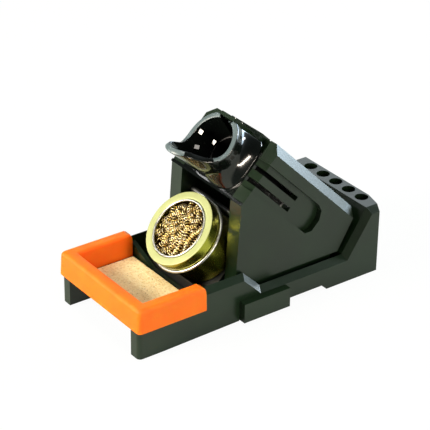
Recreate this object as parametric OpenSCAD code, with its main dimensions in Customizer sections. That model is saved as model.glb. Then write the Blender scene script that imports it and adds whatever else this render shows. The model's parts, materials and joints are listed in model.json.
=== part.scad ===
// Soldering iron stand: a moulded base with a sponge tray at the front, a roof-shaped housing that
// holds the iron at 45 degrees, a tilted tin of brass wool and a rack for five spare tips.
// Millimetres. +Z is up, +X the stand's right, the sponge end faces -Y. The origin is on the table
// surface, in the middle of the stand's length and width. Lengths called "at" run from the front.

/* [Base] */
// Width over the two side walls
base_w = 90; // [88:1:91]
// Thickness of the side walls
wall_t = 4.2; // [4:0.1:4.6]
// Height of the side walls beside the sponge
wall_top = 34.3; // [33.5:0.1:34.8]
// Height of the low ledge beside the housing
ledge_top = 20.4; // [20:0.1:21]
// Where the side wall starts to drop to the ledge
step_at = 84.7; // [84:0.1:86]
// Fall of the sloped top edge of the side walls
bevel_h = 3.9; // [3:0.1:4.2]
// Thickness of the walls that stand in the front, under the sponge tray
leg_t = 9; // [8:0.5:9.5]
// Clear height of the base mouldings above the table, taken up by the rubber feet
lift = 0.4; // [0.3:0.1:0.8]

/* [Sponge tray] */
// Height of the tray floor
tray_floor = 16.7; // [16.5:0.1:17.5]
// Thickness of the tray floor
tray_t = 1.6; // [1.2:0.1:1.6]
// Where the sponge ends
sponge_end = 51.5; // [50:0.5:51.5]
// Thickness of the sponge
sponge_t = 5; // [4:0.5:6]

/* [Wiper] */
// Thickness of the wiper's outer leg
wiper_skin = 1.3; // [1:0.1:1.3]
// Thickness of the wiper's inner leg
wiper_leg = 3.6; // [2:0.1:3.9]
// Length of the wiper arms
wiper_len = 51.8; // [48:0.2:51.8]
// Height of the wiper's top above the table
wiper_top = 37.2; // [36:0.1:38]
// Height of the wiper's lower edge above the table
wiper_low = 20.2; // [19.8:0.1:22]

/* [Rear box] */
// Height of the rear box
rear_top = 50; // [49:0.5:52]
// Where the ramp meets the ledge
ramp_at = 168; // [167:0.5:169]
// Length of the ramp, measured along the table
ramp_run = 20; // [19:0.5:21]
// Length of the rear box's flat top
box_len = 13; // [12.5:0.5:16]
// Diameter of a tip hole
tip_d = 9.4; // [8:0.1:9.6]
// Depth of a tip hole
tip_depth = 30; // [15:1:32]
// Distance between tip holes
tip_pitch = 13.75; // [12.5:0.25:14.5]

/* [Housing] */
// Width of the housing
tower_w = 77; // [75:1:78]
// Thickness of each cheek
cheek_t = 11.7; // [11:0.1:12]
// Where the upright front face meets the sloped front
slope_at = 84.3; // [84:0.1:86]
// Height at which the sloped front starts
slope_low = 82.6; // [80:0.2:84]
// Length of the sloped front, measured up the slope
slope_len = 45.5; // [45:0.1:46]
// Height of the housing's lower edge
tower_low = 22.2; // [22:0.1:23]
// Size of the bevel along the rear slope
rear_bevel = 6.2; // [4:0.1:7]
// Depth of the long recess in each cheek
recess_d = 4.5; // [3:0.1:5]
// Width of the long recess
recess_w = 20.6; // [19:0.2:21]
// Length of the long recess
recess_len = 68; // [60:1:70]
// Width of a vent slot
slot_w = 3.2; // [2:0.1:4]
// Distance between the two vent slots
slot_pitch = 8.7; // [8:0.1:10]
// Length of a vent slot
slot_len = 43; // [30:1:50]

/* [Iron holder] */
// Distance of the holder's axis from the lower edge of the sloped front
holder_up = 23; // [22.5:0.1:23]
// Outer radius of the cup's rim
cup_r = 21; // [20.5:0.1:21.5]
// Width of the rim
rim_w = 3.8; // [3:0.1:4]
// How far the rim stands out of the sloped front
cup_out = 18.7; // [16:0.1:22]
// How far the lip reaches past the rim
lip_len = 24.3; // [15:0.1:26]
// Bore radius of the holder tube
tube_r = 11.8; // [10:0.1:12]
// Wall thickness of the holder tube
tube_t = 0.8; // [0.6:0.1:0.8]
// Length of the holder tube
tube_len = 78; // [70:1:80]

/* [Wool tin] */
// Where the middle of the lid's face is
tin_at = 62.6; // [62:0.1:63]
// Height of the middle of the lid's face
tin_up = 55.6; // [55.4:0.1:56]
// Outer radius of the lid
lid_r = 26.1; // [26:0.05:26.2]
// Height of the lid
lid_h = 9; // [8:0.5:9]
// Radius of the window in the lid
window_r = 20.2; // [16:0.1:21]
// Radius of the bead round the tin
bead_r = 27.9; // [27.5:0.1:28.5]
// Height of the whole tin with its lid
tin_h = 32; // [30:1:32]
// Thickness of the tin's sheet
sheet_t = 0.6; // [0.4:0.1:0.8]

/* [Hidden] */
$fn = 96;
tilt = 45;                  // slope of the housing, the holder and the tin
ramp_end = ramp_at + ramp_run;
total_len = ramp_end + box_len;
half_w = base_w / 2;
inner_x = half_w - wall_t;  // inside face of the side walls
bevel_w = wall_t + 0.1;     // the bevel takes up the whole thickness of the wall
front_at = 1.5;             // front face of the base, under the wiper
front_t = 4.5;
front_low = 19;             // lower edge of the front wall
leg_front = 0.5;            // front of the legs, a little ahead of the wall above
corner_r = 3;               // upright front corners of the base
rib_gap = 0.8;              // between the wiper's arms and the wall behind the sponge
rib_t = 3.4;
rib_at = max(wiper_len, sponge_end) + rib_gap;
tray_end = rib_at + rib_t;
notch_x = 16;               // half width of the low middle of that wall
boss_len = 17;
deck_low = 8;
deck_top = 11;
block_at = 79.5;            // side foot blocks
block_len = 37.5;
block_out = 5.7;
block_low = 2.4;
skirt_low = 4.4;            // raised lower edge between the blocks and the rear foot
rear_foot_at = 152.8;
rail_x = 29;
rail_w = 7;
rail_at = 84;
rail_len = 78;
fit = 0.2;                  // clearance of parts that lift off
slip = 0.1;                 // clearance of parts that are fastened
lap = 0.5;                  // how far the ribs of one moulding run into each other
cut_at = 28;                // the back right corner is cut off from this far to the right
cut_len = 4.4;
rack_x = inner_x - slip;
tip_wall = 1.3;             // wall between a tip hole and the back of the rack
tip_y = total_len - tip_wall - tip_d / 2;
rack_skin = 2.4;
rack_low = deck_top + slip;
cheek_x = tower_w / 2;
cheek_in = cheek_x - cheek_t;
ridge_at = slope_at + slope_len * cos(tilt);
ridge_up = slope_low + slope_len * sin(tilt);
tail_at = 182.2;            // lower end of the rear slope
tail_up = ridge_up - (tail_at - ridge_at);
tail_low_at = 166.4;        // back of the housing's lower edge
front_lean = 3.7;           // the upright front leans back by this much
axis_at = slope_at + holder_up * cos(tilt);
axis_up = slope_low + holder_up * sin(tilt);
panel_t = 2.5;
panel_top = 12.5;           // upper edge of the front panel above the holder's axis
cup_body_r = 17.6;
cup_foot_r = 25.4;          // the cup spreads to this radius on the panel
lip_end_r = 12;
cover_t = 2.5;
pad_x = 16.5;               // half width of the raised pad on the ridge
pocket_d = 5;
pocket_w = 9;
pad_t = 1;
pad_len = 9;
ridge_t = 12;
back_t = 3;
strap_w = 14.4;
strap_t = 2.6;
strap_low = 18.4;           // underside of the strap above the holder's axis
bracket_z = -60;
bracket_t = 3;
screw_r = 1.5;
head_r = 3;
head_h = 2.2;
rod_r = 2;
tin_r = 25.3;               // outer radius of the tin's body
bead_z = -9.6;
wool_r = 24.4;
foot_r = 3.4;
foot_t = 1.2;
foot_in = 9;                // from the ends of the base
ballast_w = 54;
ballast_at = 92;
ballast_len = 70;
ballast_t = 4;
bracket_low = 17;           // reach of the tube's bracket below and above its axis
bracket_up = 18;
seat_t = 3;                 // thickness of the plate behind the tin
seat_low = 25;
seat_up = 24;
cheek_screw_len = 24;
cradle_screw_len = 6;
trough_end = 76;            // back and height of the trough under the tin
trough_top = 27;
// side outline of the cradle's ribs, with heights from the deck up
cradle_ribs = [[66, 0], [70, 4.5], [100, 36], [103, 0]];
core_t = 2.6;               // wall left round the cheeks' hollow core
cheek_screw_at = [[32.5, 94], [32.5, 152]];
ballast_screw_at = [[22, 104], [22, 154]];
cradle_screw_at = [[12, 62], [12, 98]];
rod_spots = [[17, -28], [-30, -20], [-18, -84]];

// Moves a piece from lengths measured from the front to the stand's own origin
module stand() translate([0, -total_len / 2, 0]) children();

// Frame of the iron holder: z out of the sloped front along the iron, y up the slope
module on_holder() translate([0, axis_at, axis_up]) rotate([tilt, 0, 0]) children();

// Frame of the tin: z out of the middle of the lid
module on_tin() translate([0, tin_at, tin_up]) rotate([tilt, 0, 0]) children();

// A slab with the given side outline, from x1 to x2
module side_slab(points, x1, x2)
    translate([x1, 0, 0]) rotate([90, 0, 90]) linear_extrude(x2 - x1) polygon(points);

// The piece and its mirror image across the middle
module both_sides() {
    children();
    mirror([1, 0, 0]) children();
}

// Takes the sloped bevel off the outer top edge that runs from p towards an angle
module edge_bevel(p, angle, outer_x, w, h)
    translate([outer_x, p[0], p[1]]) rotate([angle, 0, 0]) translate([-w, 0, 0])
        rotate([0, atan2(h, w), 0]) translate([-10, -150, 0]) cube([40, 300, 30]);

// A wall slab with a sloped bevel along each of the listed edges, [corner, angle]
module bevelled_slab(points, edges) difference() {
    side_slab(points, inner_x, half_w);
    for (e = edges) edge_bevel(e[0], e[1], half_w, bevel_w, bevel_h);
}

// Everything behind the flat that cuts the back right corner
module corner_cut()
    translate([cut_at, total_len, -1]) rotate([0, 0, -atan2(cut_len, half_w - cut_at)])
        cube([60, 30, 80]);

ramp_angle = atan2(rear_top - ledge_top, ramp_end - ramp_at);
ledge_at = step_at + wall_top - ledge_top;
ramp_foot = ramp_at - (ledge_top - lift) / tan(ramp_angle);

module right_wall() {
    bevelled_slab([[leg_front, lift], [leg_front, front_low], [front_at, front_low],
                   [front_at, wall_top], [step_at, wall_top],
                   [step_at + wall_top - lift, lift]],
                  [[[step_at, wall_top], 0], [[step_at, wall_top], -45]]);
    bevelled_slab([[60, lift], [60, ledge_top], [ramp_at + 8, ledge_top], [ramp_at + 8, lift]],
                  [[[60, ledge_top], 0]]);
    bevelled_slab([[ramp_foot, lift], [ramp_end, rear_top], [total_len, rear_top], [total_len, lift]],
                  [[[ramp_end, rear_top], ramp_angle], [[ramp_end, rear_top], 0]]);
    // the thick part below the tray
    side_slab([[leg_front, lift], [leg_front, front_low], [front_at + lap, front_low],
               [front_at + front_t, tray_floor - tray_t / 2], [sponge_end, tray_floor - tray_t / 2],
               [sponge_end, lift]], half_w - leg_t, inner_x + lap);
    // foot block, level with the lower edge of the ledge's bevel
    translate([inner_x, block_at, block_low])
        cube([wall_t + block_out, block_len, ledge_top - bevel_h - 0.1 - block_low]);
    // boss over the rear foot, which also carries the tip rack
    translate([half_w - leg_t, total_len - boss_len, lift])
        cube([leg_t - wall_t + lap, boss_len, rack_low - slip - lift]);
}

module base_blank() {
    both_sides() right_wall();
    // front wall and tray floor
    side_slab([[front_at, front_low], [front_at, wall_top - 1], [front_at + front_t, wall_top - 1],
               [front_at + front_t, tray_floor - tray_t]], -inner_x - lap, inner_x + lap);
    translate([-inner_x - lap, front_at + front_t - lap, tray_floor - tray_t])
        cube([2 * inner_x + 2 * lap, tray_end - front_at - front_t, tray_t]);
    // wall behind the sponge, low in the middle where the tin leans over it
    translate([0, tray_end, 0]) rotate([90, 0, 0]) linear_extrude(rib_t)
        polygon([[-inner_x - lap, deck_low], [-inner_x - lap, 30], [-inner_x, 30], [-notch_x, 20],
                 [notch_x, 20], [inner_x, 30], [inner_x + lap, 30], [inner_x + lap, deck_low]]);
    // low rear wall under the tip rack
    translate([-inner_x - lap, total_len - rack_skin, lift])
        cube([2 * inner_x + 2 * lap, rack_skin, rack_low - slip - lift]);
    // deck and the two rails that carry the housing
    translate([-inner_x - lap, tray_end - lap, deck_low])
        cube([2 * inner_x + 2 * lap, ramp_at - tray_end + 2, deck_top - deck_low]);
    both_sides() translate([rail_x, rail_at, deck_low + lap])
        cube([rail_w, rail_len, tower_low - deck_low - lap]);
}

// Rounds the two upright front corners between two heights
module corner_round(front, z1, z2)
    both_sides() translate([half_w - corner_r, front + corner_r, z1]) difference() {
        translate([0, -corner_r - 1, 0]) cube([corner_r + 1, corner_r + 1, z2 - z1]);
        translate([0, 0, -1]) cylinder(r = corner_r, h = z2 - z1 + 2);
    }

module base() color([0.07, 0.08, 0.08]) stand() difference() {
    base_blank();
    corner_round(leg_front, -1, front_low);
    corner_round(front_at, front_low, wall_top + 1);
    // raised lower edges behind the legs, along the blocks and up to the rear foot
    both_sides() side_slab([[20, -1], [20, lift], [block_at, block_low - 0.9], [block_at, block_low],
                            [block_at + block_len, block_low], [block_at + block_len, skirt_low],
                            [rear_foot_at - 4.4, skirt_low], [rear_foot_at, lift], [rear_foot_at, -1]],
                           30, half_w + block_out + 1);
    corner_cut();
    foot_spots() translate([0, 0, -1]) cylinder(r = foot_r, h = foot_t + 1);
    both_sides() for (p = cheek_screw_at) translate([p[0], p[1], 0])
        cylinder(r = screw_r + slip, h = 30);
    both_sides() for (p = concat(ballast_screw_at, cradle_screw_at)) translate([p[0], p[1], 0])
        cylinder(r = screw_r, h = 30);
}

module foot_spots() both_sides() for (y = [foot_in, total_len - foot_in]) translate([half_w - leg_t / 2, y, 0])
    children();

module feet() color([0.05, 0.05, 0.05]) stand() foot_spots() cylinder(r = foot_r - slip, h = foot_t);

rack_outline = [[ramp_at, ledge_top], [ramp_end, rear_top], [total_len, rear_top],
                [total_len, rack_low], [ramp_at, rack_low]];
// the space under the ramp, in front of the block that the tip holes are in
rack_hollow = [[ramp_at + 4, rack_low - 1], [ramp_at + 4, ledge_top], [ramp_end - 1.5, rear_top - 8],
               [ramp_end - 1.5, rack_low - 1]];

module tip_rack() color([0.07, 0.08, 0.08]) stand() difference() {
    side_slab(rack_outline, -rack_x, rack_x);
    side_slab(rack_hollow, -rack_x + rack_skin, rack_x - rack_skin);
    tip_spots() translate([0, 0, -tip_depth]) cylinder(r = tip_d / 2, h = tip_depth + 1);
    corner_cut();
}

module tip_spots() for (i = [-2 : 2]) translate([i * tip_pitch, tip_y, rear_top]) children();

// Round-headed screws that point up, with the head's underside at z = 0
module screw_up(len) {
    translate([0, 0, -head_h]) cylinder(r = head_r, h = head_h);
    cylinder(r = screw_r, h = len);
}

module ballast_plate() color([0.55, 0.56, 0.58]) stand() difference() {
    translate([-ballast_w / 2, ballast_at, deck_low - ballast_t]) cube([ballast_w, ballast_len, ballast_t]);
    both_sides() for (p = ballast_screw_at) translate([p[0], p[1], 0]) cylinder(r = screw_r + slip, h = 20);
    // clears the heads of the cradle's screws
    both_sides() translate([cradle_screw_at[1][0], cradle_screw_at[1][1], 0]) cylinder(r = head_r + 1.5, h = 20);
}

module ballast_screws() color([0.7, 0.7, 0.72]) stand() both_sides() for (p = ballast_screw_at)
    translate([p[0], p[1], deck_low - ballast_t]) screw_up(ballast_t + 2.5);

module cheek_screws() color([0.7, 0.7, 0.72]) stand() both_sides() for (p = cheek_screw_at)
    translate([p[0], p[1], deck_low]) screw_up(cheek_screw_len);

module cradle_screws() color([0.7, 0.7, 0.72]) stand() both_sides() for (p = cradle_screw_at)
    translate([p[0], p[1], deck_low]) screw_up(cradle_screw_len);

wiper_w = base_w + 2 * fit + 2 * wiper_skin;
wiper_in_w = 2 * (inner_x - fit - wiper_leg);
wiper_inside = front_at + front_t + fit + wiper_leg;   // inside of the wiper's front
sponge_gap = 0.4;
sponge_x = wiper_in_w / 2 - sponge_gap;
sponge_at = wiper_inside + sponge_gap;

module sponge() color([0.93, 0.84, 0.6]) stand()
    translate([-sponge_x, sponge_at, tray_floor]) cube([2 * sponge_x, sponge_end - sponge_at, sponge_t]);

// Plan of the wiper: a block with rounded front corners
module wiper_plan(half, start, end) {
    r = corner_r;
    translate([-half, start + r]) square([2 * half, end - start - r]);
    translate([-half + r, start]) square([2 * half - 2 * r, 2 * r]);
    for (s = [-1, 1]) translate([s * (half - r), start + r]) circle(r = r);
}

module wiper() color([1, 0.45, 0.1]) stand() difference() {
    over = wiper_len + 20;
    translate([0, 0, wiper_low]) linear_extrude(wiper_top - wiper_low) wiper_plan(wiper_w / 2, 0, wiper_len);
    translate([-wiper_in_w / 2, wiper_inside, 0]) cube([wiper_in_w, over, 2 * wiper_top]);
    // channel that fits over the walls
    difference() {
        linear_extrude(wall_top + fit) wiper_plan(half_w + fit, front_at - fit, over);
        translate([-inner_x + fit, front_at + front_t + fit, -1])
            cube([2 * inner_x - 2 * fit, over, 2 * wiper_top]);
    }
}

// Side outline of the housing
cheek_outline = [[slope_at - (slope_low - tower_low) * tan(front_lean), tower_low],
                 [slope_at, slope_low], [ridge_at, ridge_up], [tail_at, tail_up],
                 [tail_low_at, tower_low]];

// Outline of the long recess, seen from the side in the holder's frame: y up the slope, z along it
recess_mid = -1.6;
recess_over = 12;           // how far its cutter reaches out of the sloped front
recess_low = recess_mid - recess_w / 2;
recess_up = recess_mid + recess_w / 2;
low_corner = 4;             // chamfer of its lower end corner
up_corner = [7.8, 2, 3.5, 9];   // two chamfers of its upper end corner
recess_points = [[recess_low, recess_over], [recess_low, low_corner - recess_len],
                 [recess_low + low_corner, -recess_len], [recess_up - up_corner[0], -recess_len],
                 [recess_up - up_corner[1], up_corner[2] - recess_len],
                 [recess_up, up_corner[3] - recess_len], [recess_up, recess_over]];

module right_cheek_solid() difference() {
    side_slab(cheek_outline, cheek_in, cheek_x);
    // bevel along the rear slope
    edge_bevel([ridge_at, ridge_up], -tilt, cheek_x, rear_bevel, rear_bevel);
    on_holder() {
        translate([cheek_x - recess_d, 0, 0]) rotate([90, 0, 90])
            linear_extrude(recess_d + 1) polygon(recess_points);
        // the recess runs out on the sloped front over a chamfer
        translate([0, recess_up, 0]) rotate([90, 0, 0]) linear_extrude(recess_w)
            polygon([[cheek_in - 1, 5], [cheek_in - 1, 0.5], [cheek_x - recess_d + 0.4, -5], [60, -5], [60, 5]]);
        for (s = [-1, 1]) translate([cheek_in - 1, recess_mid + s * slot_pitch / 2 - slot_w / 2, -slot_len])
            cube([30, slot_w, slot_len + 10]);
    }
    // core that keeps the moulding's walls thin, open at the bottom
    side_slab([[101, tower_low - 1], [101, 74], [146, 29], [146, tower_low - 1]],
              cheek_in + core_t, cheek_x - core_t);
    for (p = cheek_screw_at) translate([p[0], p[1], 0]) cylinder(r = screw_r, h = deck_low + cheek_screw_len);
    rod_places() cylinder(r = rod_r, h = cheek_in + 7);
}

// Middle of each rod that ties the cheeks together, z towards +X
module rod_places() on_holder() for (p = rod_spots)
    translate([0, p[0], p[1]]) rotate([0, 90, 0]) children();

module right_cheek() color([0.07, 0.08, 0.08]) stand() right_cheek_solid();

module left_cheek() color([0.07, 0.08, 0.08]) stand() mirror([1, 0, 0]) right_cheek_solid();

module tie_rods() color([0.7, 0.7, 0.72]) stand() both_rods();

module both_rods() rod_places() translate([0, 0, -cheek_in - 7]) cylinder(r = rod_r, h = 2 * cheek_in + 14);

// A point seen from the side, given up the slope and out along the holder's axis
function held(up, out) = [axis_at + (up - out) * cos(tilt), axis_up + (up + out) * sin(tilt)];

// Cover of the rear slope between the cheeks, with the ridge that the holder hangs on
module rear_cover() color([0.07, 0.08, 0.08]) stand() {
    x = cheek_in - slip;
    top = slope_len - holder_up;
    low = panel_top + slip;
    back = (tail_up - tower_low) / (tail_at - tail_low_at);
    inner = [tail_low_at - back_t, tower_low];
    // where the inside of the slanted back meets the inside of the cover
    step = (held(top - cover_t, 0)[0] + held(top - cover_t, 0)[1] - inner[0] - inner[1]) / (1 + back);
    difference() {
        union() {
            side_slab([held(low, 0), held(top, 0), [tail_at, tail_up], [tail_low_at, tower_low], inner,
                       inner + step * [1, back], held(top - cover_t, -ridge_t), held(low, -ridge_t)], -x, x);
            side_slab([held(top - lap, 0), held(top + pad_t, 0), held(top + pad_t, -pad_len),
                       held(top - lap, -pad_len)], -pad_x, pad_x);
        }
        on_holder() translate([0, 0, -40]) cylinder(r = cup_body_r + slip, h = 60);
        on_holder() both_sides() translate([pad_x + 1, low - 1, -pocket_d]) cube([pocket_w, 20, 20]);
    }
}

// Glossy sloped panel under the cup, with a proud lip along its lower edge
module front_panel() color([0.02, 0.02, 0.02]) stand() on_holder() difference() {
    x = cheek_in - slip;
    union() {
        translate([-x, -holder_up, -panel_t]) cube([2 * x, holder_up + panel_top, panel_t]);
        translate([-cheek_x, -holder_up - 0.4, 0]) cube([2 * cheek_x, 2, 0.9]);
    }
    translate([0, 0, -10]) cylinder(r = cup_body_r + slip, h = 20);
}

// Half width of the cup's lip, from 0 at the rim to 1 at the start of its round end
function lip_half(t) = lip_end_r + (cup_r - lip_end_r - 0.4) * pow(1 - t, 2.2);

// Cup that guides the iron in: a funnel with a broad rim, open at the top for the strap
module holder_cup() color([0.02, 0.02, 0.02]) stand() on_holder() {
    in_r = cup_r - rim_w;
    bore = tube_r + tube_t + slip;
    lip_from = cup_out - 1;
    lip_run = lip_len + 1 - lip_end_r;
    difference() {
        rotate_extrude() polygon([[bore, -14], [cup_body_r, -14], [cup_body_r, 0], [cup_foot_r, 0],
                                  [cup_foot_r - 0.5, 1], [cup_r + 0.4, 4], [cup_r - 1.4, 8],
                                  [cup_r - 1.6, cup_out - 4.4], [cup_r, cup_out - 3], [cup_r, cup_out],
                                  [in_r, cup_out], [in_r - 1.4, cup_out - 6], [bore, 2]]);
        translate([-strap_w / 2 - slip, strap_low - slip, -1]) cube([strap_w + 2 * slip, 20, 40]);
        // flats where the cup's foot meets the panel
        translate([-40, strap_low + 0.6, -0.1]) cube([80, 20, 12]);
        translate([-40, -cup_r - 20.4, -0.1]) cube([80, 20, 12]);
    }
    // lip: the lower part of the rim drawn out into a tongue with a round end
    intersection() {
        translate([0, 0, lip_from]) difference() {
            cylinder(r = cup_r, h = lip_len + 2);
            translate([0, 0, -1]) cylinder(r = in_r, h = lip_len + 4);
        }
        translate([0, -2, 0]) rotate([90, 0, 0]) linear_extrude(30) {
            polygon(concat([for (t = [0 : 0.125 : 1]) [-lip_half(t), lip_from + t * lip_run]],
                           [for (t = [1 : -0.125 : 0]) [lip_half(t), lip_from + t * lip_run]]));
            translate([0, lip_from + lip_run]) circle(r = lip_end_r);
        }
    }
}

// Flat strap that closes the cup's open top and ties it to the ridge
module cup_strap() color([0.1, 0.11, 0.12]) stand() on_holder() difference() {
    translate([-strap_w / 2, strap_low, 0.2]) cube([strap_w, strap_t, cup_out - 0.2]);
    for (z = [5, 13]) translate([0, strap_low - 1, z]) rotate([-90, 0, 0]) cylinder(r = 1, h = 5);
}

module strap_screws() color([0.7, 0.7, 0.72]) stand() on_holder() for (z = [5, 13])
    translate([0, strap_low, z]) rotate([-90, 0, 0]) {
        cylinder(r = 1, h = strap_t);
        translate([0, 0, strap_t]) cylinder(r = 2, h = 0.8);
    }

// Ring that clamps the cup from behind the panel
module cup_ring() color([0.1, 0.11, 0.12]) stand() on_holder() translate([0, 0, -panel_t - 4]) difference() {
    cylinder(r = cup_body_r + 3, h = 4);
    translate([0, 0, -1]) cylinder(r = cup_body_r + slip, h = 6);
    translate([-40, panel_top - 0.2, -1]) cube([80, 20, 6]);
}

module holder_tube() color([0.75, 0.75, 0.77]) stand() on_holder() translate([0, 0, -tube_len]) difference() {
    cylinder(r = tube_r + tube_t, h = tube_len);
    translate([0, 0, -1]) cylinder(r = tube_r, h = tube_len + 2);
}

module tube_bracket() color([0.55, 0.56, 0.58]) stand() on_holder() difference() {
    x = cheek_in - slip;
    translate([-x, -bracket_low, bracket_z]) cube([2 * x, bracket_low + bracket_up, bracket_t]);
    translate([0, 0, bracket_z - 1]) cylinder(r = tube_r + tube_t + slip, h = bracket_t + 2);
}

// Seat of the tin between the cheeks: a trough under it and a plate behind it, on three ribs
module tin_cradle() color([0.07, 0.08, 0.08]) stand() difference() {
    x = cheek_in - slip - 0.3;
    union() {
        side_slab([[tray_end + 1, deck_top], [tray_end + 1, trough_top], [trough_end, deck_top]],
                  0.3 - x, x - 0.3);
        on_tin() translate([-x, -seat_low, -tin_h - fit - seat_t]) cube([2 * x, seat_low + seat_up, seat_t]);
        for (rx = [0.5 - x, -1.5, x - 3.5])
            side_slab([for (p = cradle_ribs) [p[0], deck_top + p[1]]], rx, rx + 3);
    }
    on_tin() translate([0, 0, -tin_h - fit]) cylinder(r = tin_r + fit + 0.4, h = 60);
    on_tin() translate([0, 0, bead_z - 1.6]) cylinder(r = bead_r + 0.5, h = 60);
    translate([-50, 0, 0]) cube([100, 140, deck_top]);
    both_sides() for (p = cradle_screw_at) translate([p[0], p[1], 0])
        cylinder(r = screw_r, h = deck_low + cradle_screw_len + slip);
}

// Drawn tin with a rolled bead, open at the front
module tin_body() color([0.62, 0.56, 0.2]) stand() on_tin() {
    rotate_extrude() polygon([[0, -tin_h], [tin_r, -tin_h], [tin_r, -1.2], [tin_r - sheet_t, -1.2],
                              [tin_r - sheet_t, sheet_t - tin_h], [0, sheet_t - tin_h]]);
    rotate_extrude() translate([bead_r - 1.1, bead_z - 0.2]) circle(r = 1.1, $fn = 24);
    translate([0, 0, bead_z - 0.6]) difference() {
        cylinder(r = bead_r - 0.7, h = 0.8);
        translate([0, 0, -1]) cylinder(r = tin_r - 0.1, h = 3);
    }
}

module tin_lid() color([0.88, 0.86, 0.45]) stand() on_tin() rotate_extrude()
    polygon([[lid_r - 0.5, -lid_h + 0.9], [lid_r, -lid_h + 0.9], [lid_r, -0.8], [lid_r - 0.8, 0], [window_r + 0.9, 0],
             [window_r + 0.9, -0.6], [lid_r - 0.5, -0.6]]);

// Rolled ring round the lid's window
module window_ring() color([0.85, 0.85, 0.85]) stand() on_tin() difference() {
    translate([0, 0, -0.8]) cylinder(r = window_r + 0.9, h = 1.4);
    translate([0, 0, -2]) cylinder(r = window_r - 0.6, h = 4);
}

module brass_wool() color([0.85, 0.68, 0.35]) stand() on_tin() {
    translate([0, 0, -tin_h + sheet_t + 0.1]) cylinder(r = wool_r, h = tin_h - 4);
    translate([0, 0, -4]) cylinder(r = window_r - 1, h = 3.4);
}

base();
tip_rack();
feet();
ballast_plate();
ballast_screws();
sponge();
wiper();
left_cheek();
right_cheek();
cheek_screws();
rear_cover();
front_panel();
tie_rods();
holder_cup();
cup_strap();
strap_screws();
cup_ring();
holder_tube();
tube_bracket();
tin_cradle();
cradle_screws();
tin_body();
tin_lid();
window_ring();
brass_wool();
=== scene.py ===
# %% [markdown]
# # Dressing a soldering iron stand
#
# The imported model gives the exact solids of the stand: a moulded base with a sponge tray, a sloping
# housing with the iron's holder, a tilted tin of brass wool and a rack for spare tips. This lesson
# gives them the look of the real thing: satin and glossy black plastic with softened edges, orange
# silicone, a porous sponge, a gold lacquered tin with bright rings, and curled brass turnings.
#
# Each cell does one job and says what it made. Lengths are written in millimetres and turned into
# metres by one number, `MM`.

# %% Load the frame
import json
import math
import random

import bmesh
import bpy
from mathutils import Matrix, Vector, noise


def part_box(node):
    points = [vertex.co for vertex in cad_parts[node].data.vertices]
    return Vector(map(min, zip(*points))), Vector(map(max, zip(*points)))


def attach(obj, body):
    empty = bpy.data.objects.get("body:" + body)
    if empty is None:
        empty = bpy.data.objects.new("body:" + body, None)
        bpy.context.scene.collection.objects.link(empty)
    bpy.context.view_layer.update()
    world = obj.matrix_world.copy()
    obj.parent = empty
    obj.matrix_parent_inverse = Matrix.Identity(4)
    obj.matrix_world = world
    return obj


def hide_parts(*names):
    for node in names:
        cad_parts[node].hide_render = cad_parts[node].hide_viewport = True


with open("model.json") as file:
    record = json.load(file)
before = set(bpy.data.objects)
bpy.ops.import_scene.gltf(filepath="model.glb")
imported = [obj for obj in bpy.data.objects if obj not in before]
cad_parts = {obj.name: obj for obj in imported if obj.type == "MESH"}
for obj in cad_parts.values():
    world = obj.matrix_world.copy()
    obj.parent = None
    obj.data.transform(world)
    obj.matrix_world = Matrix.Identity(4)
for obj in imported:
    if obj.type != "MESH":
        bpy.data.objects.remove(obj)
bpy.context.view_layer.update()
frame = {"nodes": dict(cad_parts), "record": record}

MM = 0.001
record = frame["record"]
mounts = {m["name"]: m for m in record["mounts"]}

# %% [markdown]
# ## Small tools for materials
#
# Materials here are trees of nodes. They could be built by hand in the editor, but a script shows
# every step. `colour` turns a hex value into linear numbers, `wire` sets the inputs of a node, and
# `add` makes one node of any kind. Patterns are laid out on object coordinates, which are metres in
# the stand's own frame, so `per_mm` turns the real size of a feature into a scale.


# %% Helpers for materials
def colour(code):
    """An sRGB hex colour as the linear numbers that Blender mixes with."""
    parts = [int(code[i : i + 2], 16) / 255 for i in (0, 2, 4)]
    return [c / 12.92 if c <= 0.04045 else ((c + 0.055) / 1.055) ** 2.4 for c in parts] + [1.0]


def wire(tree, node, inputs):
    """Sets a node's inputs, each to a number, a hex colour, a socket or another node."""
    for key, value in inputs.items():
        by_name = [s for s in node.inputs if s.name == key and s.enabled]
        socket = by_name[0] if by_name else node.inputs[key]
        if isinstance(value, bpy.types.Node):
            value = next(s for s in value.outputs if s.enabled)
        if isinstance(value, bpy.types.NodeSocket):
            tree.links.new(value, socket)
        else:
            socket.default_value = colour(value) if isinstance(value, str) else value
    return node


def add(tree, kind, inputs=None, stops=(), **settings):
    """Adds a shader node with its settings, its colour stops and its inputs."""
    node = tree.nodes.new("ShaderNode" + kind)
    for key, value in settings.items():
        setattr(node, key, value)
    for k, (spot, value) in enumerate(stops):
        marks = node.color_ramp.elements
        mark = marks[k] if k < 2 else marks.new(spot)
        mark.position = spot
        mark.color = colour(value) if isinstance(value, str) else (value, value, value, 1)
    return wire(tree, node, inputs or {})


def material(name):
    """A new material, its tree, and the object coordinates that its patterns are laid out on."""
    mat = bpy.data.materials.new(name)
    mat.use_nodes = True
    return mat, mat.node_tree, add(mat.node_tree, "TexCoord").outputs["Object"]


def per_mm(size):
    """The scale of a pattern whose features are this many millimetres across."""
    return 1 / (size * MM)


print("material helpers ready")

# %% [markdown]
# ## Small tools for shapes
#
# A new piece is shaped in a bmesh in millimetres, in its own upright frame, where it is easy to draw.
# `piece` then carries each point to its place in the stand, closes the mesh and hands it to its body.
# Turning the object instead would be shorter, but the object has to stay at the origin, unturned, so
# that the patterns of its material stay where they are.


# %% Helpers for shapes
def upright(x, y, z):
    """A point in millimetres in the stand's own frame."""
    return Vector((x, y, z)) * MM


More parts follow.
